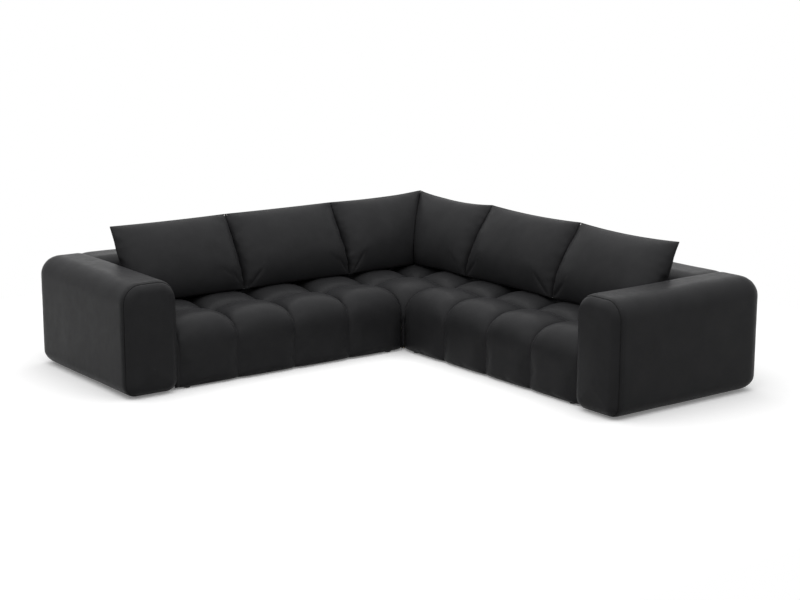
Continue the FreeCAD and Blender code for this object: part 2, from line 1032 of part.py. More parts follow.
def make_corner():
    joints = [bolt_hole(*item) for item in joint_bolts()]
    to_wings = [left(hole) for hole in joints] + [right(hole) for hole in joints]
    backs = [bolt_hole(*item) for item in corner_back_bolts()]
    to_backs = backs + [mirrored(hole) for hole in backs]
    places = seat_glides(core_start, core_back, core_start, core_back)
    stems = [glide_hole(*place) for place in places]

    export("corner_seat_cover", [drill(corner_seat_cover(), to_wings + to_backs)])
    export("corner_seat_foam", [corner_core(fit, core_bottom, core_top)])
    export(
        "corner_seat_felt",
        [corner_core(fit, felt_bottom, felt_bottom + felt_thickness)],
    )
    holes = to_wings + to_backs + stems
    export("corner_seat_frame", [drill(rail, holes) for rail in corner_frame()])
    springs, clips = springs_and_clips(core_start, core_back, core_start, core_back)
    export("corner_seat_springs", springs)
    export("corner_seat_spring_clips", clips)
    cloth = corner_core(fit, ground_gap, rail_bottom)
    export("corner_seat_dust_cloth", [drill(cloth, stems)])

    skin = drill(corner_wall(0.0).cut(corner_wall(hide_thickness)), to_backs)
    export("corner_back_cover_left", [skin.common(diagonal_side(True, fit / 2))])
    export("corner_back_cover_right", [skin.common(diagonal_side(False, fit / 2))])
    export("corner_back_foam", [drill(corner_back_foam(), to_backs)])
    export(
        "corner_back_frame", [drill(piece, to_backs) for piece in corner_back_frame()]
    )


def make_cushions():
    for kind in ("outer", "middle", "corner"):
        cover, fill = cushion_pieces(kind)
        export_pair(kind + "_cushion_cover", [cover])
        export_pair(kind + "_cushion_fill", [fill])


def make_hardware():
    wing_items = arm_bolts() + back_bolts() + joint_bolts()
    bolts = []
    nuts = []
    for side in (left, right):
        for item in wing_items:
            bolts.append(side(bolt(*item)))
            nuts.append(side(nut(*item)))
    for item in corner_back_bolts():
        bolts += [bolt(*item), mirrored(bolt(*item))]
        nuts += [nut(*item), mirrored(nut(*item))]
    export("frame_bolts", bolts)
    export("frame_nuts", nuts)

    wing_places = seat_glides(core_start, core_end, core_front, core_back)
    glides = []
    for place in wing_places + arm_glides():
        glides += [left(glide(*place)), right(glide(*place))]
    for place in seat_glides(core_start, core_back, core_start, core_back):
        glides.append(glide(*place))
    export("glides", glides)


os.makedirs("parts", exist_ok=True)
make_wings()
make_corner()
make_cushions()
make_hardware()
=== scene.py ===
import json
import math

import bmesh
import bpy
import numpy as np
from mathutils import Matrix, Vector, noise


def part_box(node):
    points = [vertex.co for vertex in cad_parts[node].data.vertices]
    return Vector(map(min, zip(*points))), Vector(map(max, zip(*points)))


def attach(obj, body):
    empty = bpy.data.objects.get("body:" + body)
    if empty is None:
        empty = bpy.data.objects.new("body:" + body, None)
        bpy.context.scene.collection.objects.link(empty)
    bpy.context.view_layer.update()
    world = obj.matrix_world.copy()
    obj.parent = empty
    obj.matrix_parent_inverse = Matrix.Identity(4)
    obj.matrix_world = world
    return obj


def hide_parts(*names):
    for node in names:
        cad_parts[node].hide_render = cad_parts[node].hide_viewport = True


# A corner sofa in black leather. Metres, in the frame's own axes.
#
# Each wing is made in its own frame: u runs outward from the inner corner, v runs
# back from the front of the seat, z is up. A Wing turns that into the left wing,
# which is the mirror image, or the right wing, which is a quarter turn.

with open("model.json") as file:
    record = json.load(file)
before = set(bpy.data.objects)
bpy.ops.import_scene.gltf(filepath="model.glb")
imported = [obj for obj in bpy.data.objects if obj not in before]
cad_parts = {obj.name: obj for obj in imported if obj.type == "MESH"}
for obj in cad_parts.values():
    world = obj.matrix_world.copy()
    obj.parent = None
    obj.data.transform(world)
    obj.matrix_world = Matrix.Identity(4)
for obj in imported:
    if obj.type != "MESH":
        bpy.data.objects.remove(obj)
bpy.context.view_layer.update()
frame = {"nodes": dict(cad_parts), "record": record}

# Places taken from the frame
SEAT_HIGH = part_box("left_seat_cover")[1]
PANEL_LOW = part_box("left_arm_front_panel")[0]
ARM_LOW, ARM_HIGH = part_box("left_arm_cover")
BACK_LOW, BACK_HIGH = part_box("left_back_cover")
PIPING_LOW, PIPING_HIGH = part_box("left_arm_piping")
MIDDLE_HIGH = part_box("left_middle_cushion_cover")[1]

GAP = 0.0003
CORNER = SEAT_HIGH.x + GAP
SEAT_LENGTH = CORNER - BACK_LOW.x + GAP
SEAT_DEPTH = BACK_LOW.y - GAP - CORNER
DEPTH = BACK_HIGH.y - CORNER
ARM_START = CORNER - ARM_HIGH.x
ARM_END = CORNER - ARM_LOW.x
ARM_FRONT = PANEL_LOW.y - CORNER
ARM_SEAM = (PIPING_LOW.y + PIPING_HIGH.y) / 2 - CORNER
FOOT = BACK_LOW.z
WALL_TOP = BACK_HIGH.z
CROWN = 0.392
CUSHION_TOP = MIDDLE_HIGH.z

# Seat puffs. CHANNEL and CROSSING are the heights of a seam and of a point where two cross.
COLUMN = 0.380
COLUMNS = 4
ROW = 0.350
CHANNEL = 0.320
CROSSING = 0.312
SEAM_RISE = 0.014
DRAW_IN = 0.016
SEAM_BEND = 0.104
PUFF_BEND = 0.150
CURL = 0.026
LIP = 0.031
TOP_POWER = 2.5
TOP_ROUND = 0.58
FACE_POWER = 5.0
FACE_ROUND = 0.62
TIP_REACH = 0.22
TIP_HEIGHT = 0.216
TIP_ROWS = 15
TIP_SOFT = 0.006
SAME = 0.0001

# Arms and backrests
ROLL = 0.110
BASE_ROLL = 0.072
REAR_BASE_ROLL = 0.124
ARM_REAR_BASE_ROLL = 0.126
ARM_REAR_SIDE_ROLL = 0.094
FRONT_ROLL = 0.064
OUTER_CORNER = 0.130
INNER_CORNER = 0.012
JOINT_ROLL = 0.004
SKIN = 0.0012
HEM = 0.008
LEAST_WAVE = -0.0008
TUCK = 0.003
SINK = 0.007
WELT_RADIUS = 0.0023
STITCH_PITCH = 0.008
STITCH_RADIUS = 0.0006

# Loose cushions. Shifts, slants and sags are what sets each apart from a tidy row.
CUSHION_LEAN = math.radians(22)
CUSHION_WIDTH = 0.758
CUSHION_HEIGHT = 0.476
CUSHION_HALF = 0.108
CUSHION_START = 0.93
CUSHION_DRAW_IN = 0.018
CUSHION_PRESS = 0.004
CUSHION_SPACE = 0.0014
ARM_SPACE = 0.003
ARM_TOP_SPACE = 0.004
ROLL_SPACE = 0.008
EAR = 0.026
REST = 0.001
OUTER_DRAW = 0.2
SEAM_SHIFT = {"left": (0.022, 0.022), "right": (0.0, -0.036)}
SEAM_SLANT = {"left": 0.020, "right": 0.034}
MITRE_SHIFT = {"left": 0.040, "right": -0.040}
MITRE_EAR = 0.009
MITRE_FADE = 0.25
TOP_SAG = {
    "left": {"outer": 0.2, "middle": 0.1, "corner": 0.45},
    "right": {"outer": 0.8, "middle": 0.65, "corner": 1.3},
}
SEAM_CORD = 0.0013
WADDING_INSET = 0.004

# Cloth: pressure, the most that a point may move, spare cloth away from and at the seams
CUSHION_CLOTH = {"pressure": 4.0, "cap": 0.028, "spare": (-0.002, 0.09), "frames": 20}
SEAT_CLOTH = {"pressure": 1.2, "cap": 0.006, "spare": (0.004, 0.03), "frames": 12}

# Room
DOME = 0.38
FLOOR_SIZE = 3.2
FLOOR_SHADE = 0.12
FLOOR_GLOW = 0.16
LAMP_PLACE = (-1.0, -0.4, 5.0)
LAMP_SIZE = 10.0
LAMP_POWER = 410

# The photograph's camera
VIEW_TURN = math.radians(36.194)
VIEW_DROP = math.radians(12.237)
VIEW_PLACE = Vector((-15.4124, -20.5636, 6.3836)) * COLUMN
VIEW_FOCAL = 1672.3
VIEW_CENTRE = (384.13, 300.55)
VIEW_LIFT = 0.00225
PHOTO_WIDTH = 800
PHOTO_HEIGHT = 600
SENSOR = 36.0


# Meshes

def grid_faces(rows, columns, wrap=False, close=False, first=0):
    """Quads of a grid of points stored row by row.

    wrap joins the last column to the first, and close the last row to the first."""
    faces = []
    for i in range(rows if close else rows - 1):
        for j in range(columns if wrap else columns - 1):
            k = (j + 1) % columns
            a = first + i * columns
            b = first + (i + 1) % rows * columns
            faces.append((a + j, b + j, b + k, a + k))
    return faces


def face_outward(points, faces):
    """Turn the faces so that they agree and look outward."""
    sheet = bmesh.new()
    corners = [sheet.verts.new(point) for point in points]
    for face in faces:
        sheet.faces.new([corners[index] for index in face])
    sheet.verts.index_update()
    bmesh.ops.recalc_face_normals(sheet, faces=sheet.faces[:])
    faces = [tuple(corner.index for corner in face.verts) for face in sheet.faces]
    sheet.free()
    middle = points.mean(axis=0)
    if np.sum((points - middle) * normals_of(points, faces)) < 0:
        return [tuple(reversed(face)) for face in faces]
    return faces


def add_object(name, data):
    item = bpy.data.objects.new(name, data)
    bpy.context.scene.collection.objects.link(item)
    return item


def make_mesh(name, points, faces):
    mesh = bpy.data.meshes.new(name)
    mesh.from_pydata([tuple(point) for point in points], [], faces)
    return mesh


def make_piece(name, points, faces, material, subdivide=0, seam=()):
    """A smooth piece. Where it is subdivided, the points of seam stay a sharp line."""
    mesh = make_mesh(name, points, face_outward(points, faces))
    mesh.validate()
    mesh.shade_smooth()
    mesh.materials.append(material)
    piece = add_object(name, mesh)
    if subdivide:
        sharp = {tuple(sorted(pair)) for pair in zip(seam, seam[1:] + seam[:1])}
        crease = mesh.attributes.new("crease_edge", "FLOAT", "EDGE")
        for edge in mesh.edges:
            if tuple(sorted(edge.vertices)) in sharp:
                crease.data[edge.index].value = 1.0
        modifier = piece.modifiers.new("smooth", "SUBSURF")
        modifier.levels = subdivide
        modifier.render_levels = subdivide
    return piece


def normals_of(points, faces):
    """A unit normal at each point, from the faces round it."""
    normals = np.zeros_like(points)
    quads = np.array([f for f in faces if len(f) == 4])
    cross = np.cross(points[quads[:, 2]] - points[quads[:, 0]],
                     points[quads[:, 3]] - points[quads[:, 1]])
    for corner in range(4):
        np.add.at(normals, quads[:, corner], cross)
    for face in faces:
        if len(face) == 3:
            a, b, c = points[list(face)]
            normals[list(face)] += np.cross(b - a, c - a)
    length = np.linalg.norm(normals, axis=1)
    length[length == 0] = 1.0
    return normals / length[:, None]


def waves(points, size, seed):
    """Smooth noise from -1 to 1 at each point; size is the length of a wave in metres."""
    shift = Vector((seed * 17.31, seed * 5.77, seed * 9.13))
    return np.array([noise.noise(Vector(point) / size + shift) for point in points])


def ease(x):
    """0 to 1 for x from 0 to 1, level at both ends."""
    x = np.clip(x, 0.0, 1.0)
    return x * x * (3 - 2 * x)


def stand_in(piece, body, node):
    """Attach a padded piece to the body it rides on and hide the frame node it stands for."""
    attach(piece, body)
    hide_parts(node)


def make_hide(name, node, points, faces):
    """A piece of the sofa's own leather, which stands in for a node of the frame."""
    stand_in(make_piece(name, points, faces, HIDE), "sofa", node)


class Wing:
    def __init__(self, side):
        self.side = side
        self.seed = 1 if side == "left" else 2

    def place(self, points):
        u, v, z = np.asarray(points, float).T
        if self.side == "left":
            return np.column_stack((CORNER - u, CORNER + v, z))
        return np.column_stack((CORNER + v, CORNER - u, z))


WINGS = [Wing("left"), Wing("right")]


# Cloth

def inflate(points, faces, pins, gather, pressure, cap, spare, frames):
    """Blow a skin up with a short cloth simulation and return where its points went.

    gather is 0 to 1 at each point and runs from the first spare share to the second."""
    scene = bpy.context.scene
    mesh = make_mesh("inflating", points, faces)
    piece = add_object("inflating", mesh)
    pinned = piece.vertex_groups.new(name="pins")
    pinned.add([int(index) for index in pins], 1.0, "REPLACE")
    full = piece.vertex_groups.new(name="full")
    for index, weight in enumerate(gather):
        full.add([index], float(weight), "REPLACE")
    cloth = piece.modifiers.new("cloth", "CLOTH")
    settings = cloth.settings
    settings.quality = 5
    settings.mass = 0.35
    settings.tension_stiffness = 25
    settings.compression_stiffness = 25
    settings.shear_stiffness = 8
    settings.bending_stiffness = 0.5
    settings.air_damping = 2
    settings.use_pressure = True
    settings.uniform_pressure_force = pressure
    settings.vertex_group_mass = "pins"
    settings.vertex_group_shrink = "full"
    settings.shrink_min = -spare[0]
    settings.shrink_max = -spare[1]
    settings.effector_weights.gravity = 0
    cloth.collision_settings.use_collision = False
    cloth.point_cache.frame_start = 1
    cloth.point_cache.frame_end = frames
    for step in range(1, frames + 1):
        scene.frame_set(step)
    shown = piece.evaluated_get(bpy.context.evaluated_depsgraph_get())
    after = np.empty(len(points) * 3)
    shown.data.vertices.foreach_get("co", after)
    after = after.reshape(-1, 3)
    bpy.data.objects.remove(piece)
    bpy.data.meshes.remove(mesh)
    scene.frame_set(1)
    move = after - points
    length = np.linalg.norm(move, axis=1)
    length[length == 0] = 1.0
    return points + move * (np.minimum(length, cap) / length)[:, None]


# Materials

class Nodes:
    """A node tree in the making."""

    def __init__(self, tree):
        self.tree = tree
        self.shader = tree.nodes.get("Principled BSDF")

    def add(self, kind, vector=None, **inputs):
        node = self.tree.nodes.new(kind)
        for key, value in inputs.items():
            node.inputs[key].default_value = value
        if vector is not None:
            self.join(vector, node.inputs["Vector"])
        return node

    def join(self, source, goal):
        self.tree.links.new(source, goal)

    def place(self, stretch=(1, 1, 1)):
        where = self.add("ShaderNodeTexCoord").outputs["Object"]
        return self.add("ShaderNodeMapping", where, Scale=stretch).outputs["Vector"]

    def noise(self, place, scale, detail=3.0, rough=0.55):
        node = self.add("ShaderNodeTexNoise", place, Scale=scale, Detail=detail, Roughness=rough)
        return node.outputs["Fac"]

    def ramp(self, source, low, high, start=0.3, end=0.7):
        """A colour from low to high."""
        ramp = self.add("ShaderNodeValToRGB")
        for stop, position, colour in zip(ramp.color_ramp.elements, (start, end), (low, high)):
            stop.position = position
            stop.color = (*colour, 1)
        self.join(source, ramp.inputs["Fac"])
        return ramp.outputs["Color"]

    def span(self, source, low, high, start=0.3, end=0.7):
        """A number from low to high."""
        node = self.add("ShaderNodeMapRange")
        ends = {"From Min": start, "From Max": end, "To Min": low, "To Max": high}
        for key, value in ends.items():
            node.inputs[key].default_value = value
        self.join(source, node.inputs["Value"])
        return node.outputs["Result"]

    def colour(self, source, dark, light, start=0.3, end=0.7):
        self.join(self.ramp(source, dark, light, start, end), self.shader.inputs["Base Color"])

    def rough(self, source, low, high):
        self.join(self.span(source, low, high), self.shader.inputs["Roughness"])

    def set(self, socket, value):
        self.shader.inputs[socket].default_value = value

    def bumps(self, *layers):
        """Stacked bump layers, each (height socket, depth in metres, strength)."""
        normal = self.shader.inputs["Normal"]
        for height, depth, strength in reversed(layers):
            bump = self.add("ShaderNodeBump", Distance=depth, Strength=strength)
            self.join(height, bump.inputs["Height"])
            self.join(bump.outputs["Normal"], normal)
            normal = bump.inputs["Normal"]


def new_material(name):
    material = bpy.data.materials.new(name)
    material.use_nodes = True
    return material, Nodes(material.node_tree)


def leather(name, dark, light, rough_low, rough_high):
    """Smooth dyed hide: cell grain, fine creases, mottled dye and uneven polish."""
    material, nodes = new_material(name)
    place = nodes.place()
    cells = nodes.add("ShaderNodeTexVoronoi", place, Scale=620.0)
    cells.feature = "DISTANCE_TO_EDGE"
    grain = nodes.span(cells.outputs["Distance"], 0.0, 1.0, 0.0, 0.16)
    pores = nodes.noise(place, 1500.0, 2.0)
    creases = nodes.noise(nodes.place((1.0, 1.0, 0.45)), 38.0, 6.0, 0.7)
    nodes.colour(nodes.noise(place, 7.0, 4.0, 0.6), dark, light)
    nodes.rough(nodes.noise(place, 22.0, 5.0, 0.65), rough_low, rough_high)
    nodes.set("Specular IOR Level", 0.055)
    nodes.bumps((grain, 0.00025, 0.35), (pores, 0.0001, 0.25), (creases, 0.0012, 0.22))
    return material


def foam(name, dark, light, cell):
    material, nodes = new_material(name)
    place = nodes.place()
    holes = nodes.add("ShaderNodeTexVoronoi", place, Scale=1.0 / cell)
    nodes.colour(nodes.noise(place, 9.0), dark, light)
    nodes.set("Roughness", 0.95)
    nodes.set("Specular IOR Level", 0.15)
    nodes.bumps((holes.outputs["Distance"], 0.0008, 0.6))
    return material


def felt(name, dark, light, rough=0.95):
    """Pressed or woven cloth: fibres along two directions."""
    material, nodes = new_material(name)
    along = nodes.noise(nodes.place((40, 600, 600)), 1.0, 4.0)
    across = nodes.noise(nodes.place((600, 40, 600)), 1.0, 4.0)
    nodes.colour(along, dark, light)
    nodes.set("Roughness", rough)
    nodes.set("Specular IOR Level", 0.2)
    nodes.set("Sheen Weight", 0.2)
    nodes.bumps((along, 0.0005, 0.5), (across, 0.0005, 0.5))
    return material


def timber(name, dark, light):
    """Planed softwood: growth rings and fine fibres."""
    material, nodes = new_material(name)
    rings = nodes.add("ShaderNodeTexWave", nodes.place((3.0, 3.0, 3.0)),
                      Scale=9.0, Distortion=6.0, Detail=3.0)
    rings.wave_type = "RINGS"
    fibres = nodes.noise(nodes.place((15, 400, 400)), 1.0, 4.0)
    nodes.colour(rings.outputs["Fac"], dark, light, 0.1, 0.9)
    nodes.rough(fibres, 0.55, 0.8)
    nodes.bumps((fibres, 0.0004, 0.4))
    return material


def steel(name, dark, light, rough_low, rough_high):
    """Drawn or zinc plated steel with fine marks and a patchy bloom."""
    material, nodes = new_material(name)
    marks = nodes.noise(nodes.place((60, 60, 1500)), 1.0, 3.0)
    nodes.colour(nodes.noise(nodes.place(), 160.0, 4.0), dark, light)
    nodes.rough(marks, rough_low, rough_high)
    nodes.set("Metallic", 1.0)
    nodes.bumps((marks, 0.0001, 0.3))
    return material


def plastic(name, dark, light):
    material, nodes = new_material(name)
    place = nodes.place()
    wear = nodes.noise(place, 45.0, 4.0)
    nodes.colour(wear, dark, light)
    nodes.rough(wear, 0.45, 0.6)
    nodes.bumps((nodes.noise(place, 900.0, 3.0), 0.0001, 0.4))
    return material


HIDE = leather("black_hide", (0.0235, 0.0235, 0.0247), (0.0285, 0.0285, 0.0297), 0.33, 0.43)
# The welt and seam cords take the hide's leather in a darker colour: painted shade standing in for
# the shadow in the seam grooves.
SEAM_SHADED_WELT = leather("welt_painted_seam_shade", (0.012, 0.012, 0.0125), (0.018, 0.018, 0.0185), 0.38, 0.5)
THREAD = felt("black_thread", (0.012, 0.012, 0.013), (0.022, 0.022, 0.024), 0.6)
WADDING = foam("white_wadding", (0.80, 0.80, 0.78), (0.90, 0.90, 0.88), 0.006)
SLOT_MATERIALS = {
    "black_leather": HIDE,
    "piping_leather": SEAM_SHADED_WELT,
    "foam": foam("seat_foam", (0.72, 0.66, 0.45), (0.80, 0.75, 0.55), 0.0018),
    "fibre_fill": WADDING,
    "spring_felt": felt("needled_felt", (0.20, 0.19, 0.18), (0.42, 0.40, 0.37)),
    "dust_cloth": felt("dust_cloth", (0.012, 0.012, 0.012), (0.03, 0.03, 0.03)),
    "timber": timber("planed_pine", (0.42, 0.27, 0.13), (0.66, 0.47, 0.27)),
    "spring_steel": steel("spring_wire", (0.22, 0.22, 0.23), (0.42, 0.42, 0.43), 0.3, 0.45),
    "clip_plastic": plastic("clip_plastic", (0.62, 0.62, 0.58), (0.74, 0.74, 0.70)),
    "zinc_steel": steel("zinc_plate", (0.50, 0.50, 0.48), (0.70, 0.70, 0.67), 0.22, 0.38),
    "glide_plastic": plastic("glide_plastic", (0.010, 0.010, 0.010), (0.022, 0.022, 0.022)),
}


def dress_frame():
    """Give every node of the frame the material of its slot."""
    for entry in frame["record"]["subparts"]:
        node = frame["nodes"][entry["node"]]
        material = SLOT_MATERIALS[entry["material_slot"]]
        node.data.materials.clear()
        node.data.materials.append(material)


# Rolled walls: a rounded ring swept along a line

TOP_STEPS = 12
SIDE_STEPS = 36
BASE_STEPS = 14
BEND_STEPS = 12


def between(start, end, count):
    """Points that part a line into count steps, its two ends left out."""
    return start + (end - start) * np.arange(1, count)[:, None] / count


def ring(low, high, radii):
    """Points round a rounded rectangle from the middle of its top, far side first.

    low and high are (across, z). radii go far top, far base, near base, near top."""
    low_a, low_z = low
    high_a, high_z = high
    middle = (low_a + high_a) / 2
    far_top, far_base, near_base, near_top = radii
    corners = [
        (high_a - far_top, high_z - far_top, far_top, 90),
        (high_a - far_base, low_z + far_base, far_base, 0),
        (low_a + near_base, low_z + near_base, near_base, -90),
        (low_a + near_top, high_z - near_top, near_top, -180),
    ]
    bends = []
    for a, z, radius, turn in corners:
        angle = np.radians(turn - 90 * np.arange(BEND_STEPS + 1) / BEND_STEPS)
        bends.append(np.column_stack((a + radius * np.cos(angle), z + radius * np.sin(angle))))
    top = np.array([(middle, high_z)])
    parts = [top, between(top[0], bends[0][0], TOP_STEPS // 2)]
    steps = (SIDE_STEPS, BASE_STEPS, SIDE_STEPS, TOP_STEPS // 2)
    for bend, following, count in zip(bends, bends[1:] + [top], steps):
        parts += [bend, between(bend[-1], following[0], count)]
    return np.vstack(parts)


RING_COUNT = len(ring((0, 0), (1, 1), (0.1, 0.1, 0.1, 0.1)))


def roll_inset(distance, radius):
    """How far a rolled edge stands in at a distance from the end face."""
    if distance >= radius:
        return 0.0
    return radius - math.sqrt(max(radius ** 2 - (radius - distance) ** 2, 0.0))


def end_cap(station, bulge, count=9):
    """Stations that close an end, drawn towards its upright middle line.

    bulge moves the middle out along the sweep. The last ring is bridged by faces."""
    place, section = station
    a, z = section.T
    middle = (a.min() + a.max()) / 2
    half = (a.max() - a.min()) / 2
    spine = np.clip(z, z.min() + half * 0.9, z.max() - half * 0.9)
    stations = []
    for k in range(1, count + 1):
        share = k / count * 0.985
        drawn = np.column_stack((a + (middle - a) * share, z + (spine - z) * share))
        stations.append((place + bulge * share * (2 - share), drawn))
    return stations


def bridge(first):
    """Faces across the last ring of an end, joining points that mirror each other."""
    faces = []
    for k in range(RING_COUNT // 2):
        quad = (k, k + 1, RING_COUNT - k - 1, (RING_COUNT - k) % RING_COUNT)
        unique = tuple(dict.fromkeys(first + index for index in quad))
        if len(unique) > 2:
            faces.append(unique)
    return faces


def sweep(stations):
    """Points and faces of rings set along a line; stations are (place, ring)."""
    points = [(across, place, z) for place, section in stations for across, z in section]
    return np.array(points), grid_faces(len(stations), RING_COUNT, wrap=True)


def tube(path, radius, sides=8):
    """Points and faces of a closed round cord along a closed path."""
    path = np.asarray(path)
    ahead = np.roll(path, -1, axis=0) - np.roll(path, 1, axis=0)
    ahead /= np.linalg.norm(ahead, axis=1)[:, None]
    outward = path - path.mean(axis=0)
    outward -= ahead * np.sum(outward * ahead, axis=1)[:, None]
    outward /= np.linalg.norm(outward, axis=1)[:, None]
    side = np.cross(ahead, outward)
    angle = 2 * np.pi * np.arange(sides)[:, None] / sides
    spread = outward[:, None] * np.cos(angle) + side[:, None] * np.sin(angle)
    points = path[:, None] + radius * spread
    return points.reshape(-1, 3), grid_faces(len(path), sides, wrap=True, close=True)


# How far along the stitch each ring is, its share of the girth and how high it stands
STITCH = [
    (-0.0030, 0.1, 0.0),
    (-0.0020, 0.8, 0.0004),
    (0.0, 1.0, 0.0006),
    (0.0020, 0.8, 0.0004),
    (0.0030, 0.1, 0.0),
]


def make_stitches(name, path, away):
    """A row of single stitches along a closed path, each a short pointed bead of thread."""
    ahead = np.roll(path, -1, axis=0) - path
    steps = np.linalg.norm(ahead, axis=1)
    along = np.concatenate(([0.0], np.cumsum(steps)))
    pitch = along[-1] / round(along[-1] / STITCH_PITCH)
    points = []
    faces = []
    for place in np.arange(0.0, along[-1] - pitch / 2, pitch):
        start = min(int(np.searchsorted(along, place, side="right")) - 1, len(path) - 1)
        share = (place - along[start]) / steps[start]
        middle = path[start] + ahead[start] * share
        way = ahead[start] / steps[start]
        up = away[start] / np.linalg.norm(away[start])
        side = np.cross(way, up)
        first = len(points)
        for reach, girth, rise in STITCH:
            for j in range(6):
                angle = 2 * math.pi * j / 6
                spread = side * math.cos(angle) + up * math.sin(angle)
                points.append(middle + way * reach + up * rise + spread * STITCH_RADIUS * girth)
        faces += grid_faces(len(STITCH), 6, wrap=True, first=first)
    stitches = make_piece(name, np.array(points), faces, THREAD)
    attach(stitches, "sofa")


# Arms

FRONT_ANGLES = [0, 10, 20, 30, 40, 48, 54, 58, 60.5]
BEHIND_ANGLES = [63.5, 66, 70, 76, 83, 90]
REAR_ANGLES = [90, 80, 70, 60, 50, 40, 30, 20, 10, 0]


def arm_ring(front_distance, rear_distance):
    """The arm's outline where the front and rear rolls draw it in."""
    front = roll_inset(front_distance, FRONT_ROLL)
    top = front + roll_inset(rear_distance, ROLL)
    outer = front + roll_inset(rear_distance, ARM_REAR_SIDE_ROLL)
    base = front + roll_inset(rear_distance, ARM_REAR_BASE_ROLL)
    inner = front + roll_inset(rear_distance, JOINT_ROLL)
    small = 0.006
    low = (ARM_START + inner, FOOT + base)
    high = (ARM_END - outer, WALL_TOP - top)
    radii = (
        max(ROLL - max(top, outer), small),
        max(BASE_ROLL - max(base, outer), small),
        max(BASE_ROLL - max(base, inner), small),
        max(ROLL - max(top, inner), small),
    )
    return ring(low, high, radii)


def arm_stations():
    """Stations of the front panel and of the cover behind its seam."""
    seam_angle = math.acos(1 - (ARM_SEAM - ARM_FRONT) / FRONT_ROLL)
    length = DEPTH - ARM_FRONT

    def front_station(angle):
        distance = FRONT_ROLL * (1 - math.cos(angle))
        return ARM_FRONT + distance, arm_ring(distance, length - distance)

    panel = [front_station(math.radians(angle)) for angle in FRONT_ANGLES]
    panel.append(front_station(seam_angle))
    cover = [front_station(seam_angle)]
    cover += [front_station(math.radians(angle)) for angle in BEHIND_ANGLES]
    start = ARM_FRONT + FRONT_ROLL
    end = DEPTH - ARM_REAR_BASE_ROLL
    count = 66
    for k in range(1, count):
        place = start + (end - start) * k / count
        cover.append((place, arm_ring(place - ARM_FRONT, DEPTH - place)))
    for angle in REAR_ANGLES:
        distance = ARM_REAR_BASE_ROLL * (1 - math.cos(math.radians(angle)))
        cover.append((DEPTH - distance, arm_ring(length - distance, distance)))
    return panel, cover


def arm_shape(points, faces, seed):
    """Skin thickness, soft bulge, seam dip, puckers and slow waves."""
    u, v, z = points.T
    out = normals_of(points, faces)
    tall = np.clip((z - FOOT) / (WALL_TOP - FOOT), 0, 1)
    long = np.clip((v - ARM_FRONT) / (DEPTH - ARM_FRONT), 0, 1)
    away = np.abs(v - ARM_SEAM)
    bulge = 0.0045 * np.sin(np.pi * tall) ** 0.7 * np.sin(np.pi * long) ** 0.6
    bulge = bulge * np.where(out[:, 0] < -0.5, 0.15, 1.0)  # the inner side lies by the seat
    dip = -0.0016 * np.exp(-((away / 0.0035) ** 2)) - 0.0006 * np.exp(-((away / 0.012) ** 2))
    along = np.column_stack((u * 2.0, v * 0.3, z * 2.0))
    pucker = 0.0009 * waves(along, 0.045, seed) * np.exp(-((away / 0.035) ** 2))
    slow = 0.0016 * waves(points, 0.26, seed + 3) + 0.0006 * waves(points, 0.09, seed + 5)
    rear = 0.003 * ease((v - DEPTH + 0.30) / 0.25) * np.maximum(out[:, 1] + 0.6 * out[:, 0], 0)
    rear += 0.005 * ease((v - 0.30) / 0.45) * np.maximum(out[:, 2], 0)
    move = SKIN + bulge + rear + dip + pucker + np.maximum(slow, LEAST_WAVE)
    return points + out * move[:, None]


def make_arm(wing):
    panel, cover = arm_stations()
    panel = end_cap(panel[0], -0.007)[::-1] + panel
    cover += end_cap(cover[-1], 0.004)
    all_points, all_faces = sweep(panel + cover[1:])
    all_faces += [tuple(reversed(face)) for face in bridge(0)]
    all_faces += bridge((len(panel) + len(cover) - 2) * RING_COUNT)
    all_faces = face_outward(all_points, all_faces)
    shaped = arm_shape(all_points, all_faces, wing.seed)
    seam = (len(panel) - 1) * RING_COUNT
    for name, first, last in (
        ("arm_front_panel", 0, seam + RING_COUNT),
        ("arm_cover", seam, len(all_points)),
    ):
        chosen = [f for f in all_faces if min(f) >= first and max(f) < last]
        faces = [tuple(index - first for index in f) for f in chosen]
        points = wing.place(shaped[first:last])
        node = wing.side + "_" + name
        make_hide(node + "_hide", node, points, faces)
    seam_ring = shaped[seam:seam + RING_COUNT]
    middle = seam_ring.mean(axis=0)
    apart = seam_ring - middle
    apart[:, 1] = 0.0
    away = apart / np.linalg.norm(apart, axis=1)[:, None]
    cord_points, cord_faces = tube(wing.place(seam_ring + away * 0.0009), WELT_RADIUS)
    # The welt is coloured darker than the hide: painted seam shade.
    cord = make_piece(wing.side + "_arm_welt", cord_points, cord_faces, SEAM_SHADED_WELT)
    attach(cord, "sofa")
    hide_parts(wing.side + "_arm_piping")
    row = shaped[seam + 4 * RING_COUNT:seam + 5 * RING_COUNT]
    placed = wing.place(row)
    make_stitches(wing.side + "_arm_stitches", placed, wing.place(row + away) - placed)


# Backrests

def wall_ring(inset):
    """A backrest's section, (v, z), drawn in all round near its ends."""
    low = (SEAT_DEPTH + GAP, FOOT + inset)
    high = (DEPTH - inset, WALL_TOP - inset)
    small = 0.005
    radii = (ROLL - inset, REAR_BASE_ROLL - inset, small, ROLL - inset)
    return ring(low, high, radii)


